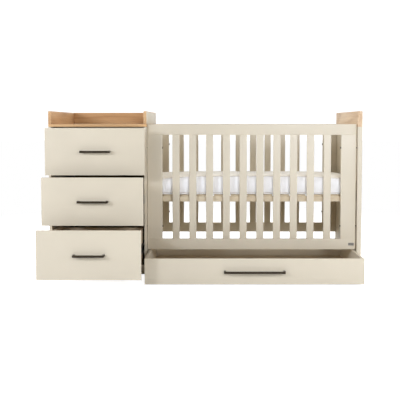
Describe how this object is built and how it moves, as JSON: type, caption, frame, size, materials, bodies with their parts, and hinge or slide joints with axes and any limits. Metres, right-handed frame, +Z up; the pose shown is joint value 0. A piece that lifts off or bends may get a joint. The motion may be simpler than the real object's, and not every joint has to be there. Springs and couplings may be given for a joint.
{
  "type": "cot with changing chest",
  "caption": "Cot with slatted sides, a mattress and an under-bed drawer, joined to a chest of drawers that carries an oak changing tray; dark bar handles.",
  "frame": {"origin": "on the floor, at the middle of the bounding box as pictured, with the drawers standing open", "axes": "+X along the length from the chest to the far end, +Y from the drawer side to the back, +Z up"},
  "size_m": [1.863, 1.042, 0.987],
  "materials": {
    "cream_lacquer": "satin lacquer on smooth board",
    "oak_veneer": "satin oak veneer",
    "birch": "smooth pale birch",
    "white_board": "plain white faced board",
    "bronze": "dark bronze, satin",
    "zinc": "zinc plated sheet",
    "glide_plastic": "matte",
    "wheel_plastic": "matte",
    "mattress_cloth": "white woven cover"
  },
  "bodies": {
    "cot": {"chest_side_left": "cream_lacquer", "chest_side_right": "cream_lacquer", "chest_bottom": "cream_lacquer", "chest_top_rails": "cream_lacquer", "chest_back": "white_board", "chest_plinth": "cream_lacquer", "chest_runners": "zinc", "tray_floor": "oak_veneer", "tray_side_left": "oak_veneer", "tray_side_right": "oak_veneer", "tray_back": "oak_veneer", "end_panel": "cream_lacquer", "end_cap": "oak_veneer", "floor_glides": "glide_plastic", "threaded_inserts": "zinc", "front_top_rail": "cream_lacquer", "front_bottom_rail": "cream_lacquer", "front_stiles": "cream_lacquer", "front_slats": "cream_lacquer", "back_top_rail": "cream_lacquer", "back_bottom_rail": "cream_lacquer", "back_stiles": "cream_lacquer", "back_slats": "cream_lacquer", "side_bolts": "bronze", "blank_plate": "bronze", "base_long_rails": "birch", "base_end_rails": "birch", "base_slats": "birch", "base_bolts": "bronze"},
    "upper_drawer": {"upper_drawer_front": "cream_lacquer", "upper_drawer_sides": "white_board", "upper_drawer_back": "white_board", "upper_drawer_bottom": "white_board", "upper_drawer_runners": "zinc", "upper_drawer_handle": "bronze", "upper_drawer_screws": "zinc"},
    "middle_drawer": {"middle_drawer_front": "cream_lacquer", "middle_drawer_sides": "white_board", "middle_drawer_back": "white_board", "middle_drawer_bottom": "white_board", "middle_drawer_runners": "zinc", "middle_drawer_handle": "bronze", "middle_drawer_screws": "zinc"},
    "lower_drawer": {"lower_drawer_front": "cream_lacquer", "lower_drawer_sides": "white_board", "lower_drawer_back": "white_board", "lower_drawer_bottom": "white_board", "lower_drawer_runners": "zinc", "lower_drawer_handle": "bronze", "lower_drawer_screws": "zinc"},
    "underbed_drawer": {"underbed_front": "cream_lacquer", "underbed_sides": "cream_lacquer", "underbed_back": "cream_lacquer", "underbed_bottom": "white_board", "underbed_handle": "bronze", "underbed_screws": "zinc", "wheel_brackets": "zinc"},
    "front_wheel_pair": {"front_wheels": "wheel_plastic"},
    "back_wheel_pair": {"back_wheels": "wheel_plastic"},
    "mattress": {"mattress": "mattress_cloth"}
  },
  "joints": [
    {"name": "upper_drawer_slide", "type": "slide", "parent": "cot", "child": "upper_drawer", "axis": [0, -1, 0], "range_m": [-0.08, 0.3]},
    {"name": "middle_drawer_slide", "type": "slide", "parent": "cot", "child": "middle_drawer", "axis": [0, -1, 0], "range_m": [-0.172, 0.208]},
    {"name": "lower_drawer_slide", "type": "slide", "parent": "cot", "child": "lower_drawer", "axis": [0, -1, 0], "range_m": [-0.308, 0.072]},
    {"name": "underbed_drawer_slide", "type": "slide", "parent": "cot", "child": "underbed_drawer", "axis": [0, -1, 0], "range_m": [-0.258, 0.302]},
    {"name": "front_wheels_turn", "type": "hinge", "parent": "underbed_drawer", "child": "front_wheel_pair", "pos_m": [0.2785, -0.337, 0.017], "axis": [1, 0, 0], "continuous": true},
    {"name": "back_wheels_turn", "type": "hinge", "parent": "underbed_drawer", "child": "back_wheel_pair", "pos_m": [0.2785, 0.151, 0.017], "axis": [1, 0, 0], "continuous": true},
    {"name": "mattress_lift", "type": "slide", "parent": "cot", "child": "mattress", "axis": [0, 0, 1], "range_m": [0, 0.43]}
  ],
  "couplings": [
    {"joint": "front_wheels_turn", "follows": "underbed_drawer_slide", "rad_per_m": 58.824},
    {"joint": "back_wheels_turn", "follows": "underbed_drawer_slide", "rad_per_m": 58.824}
  ]
}
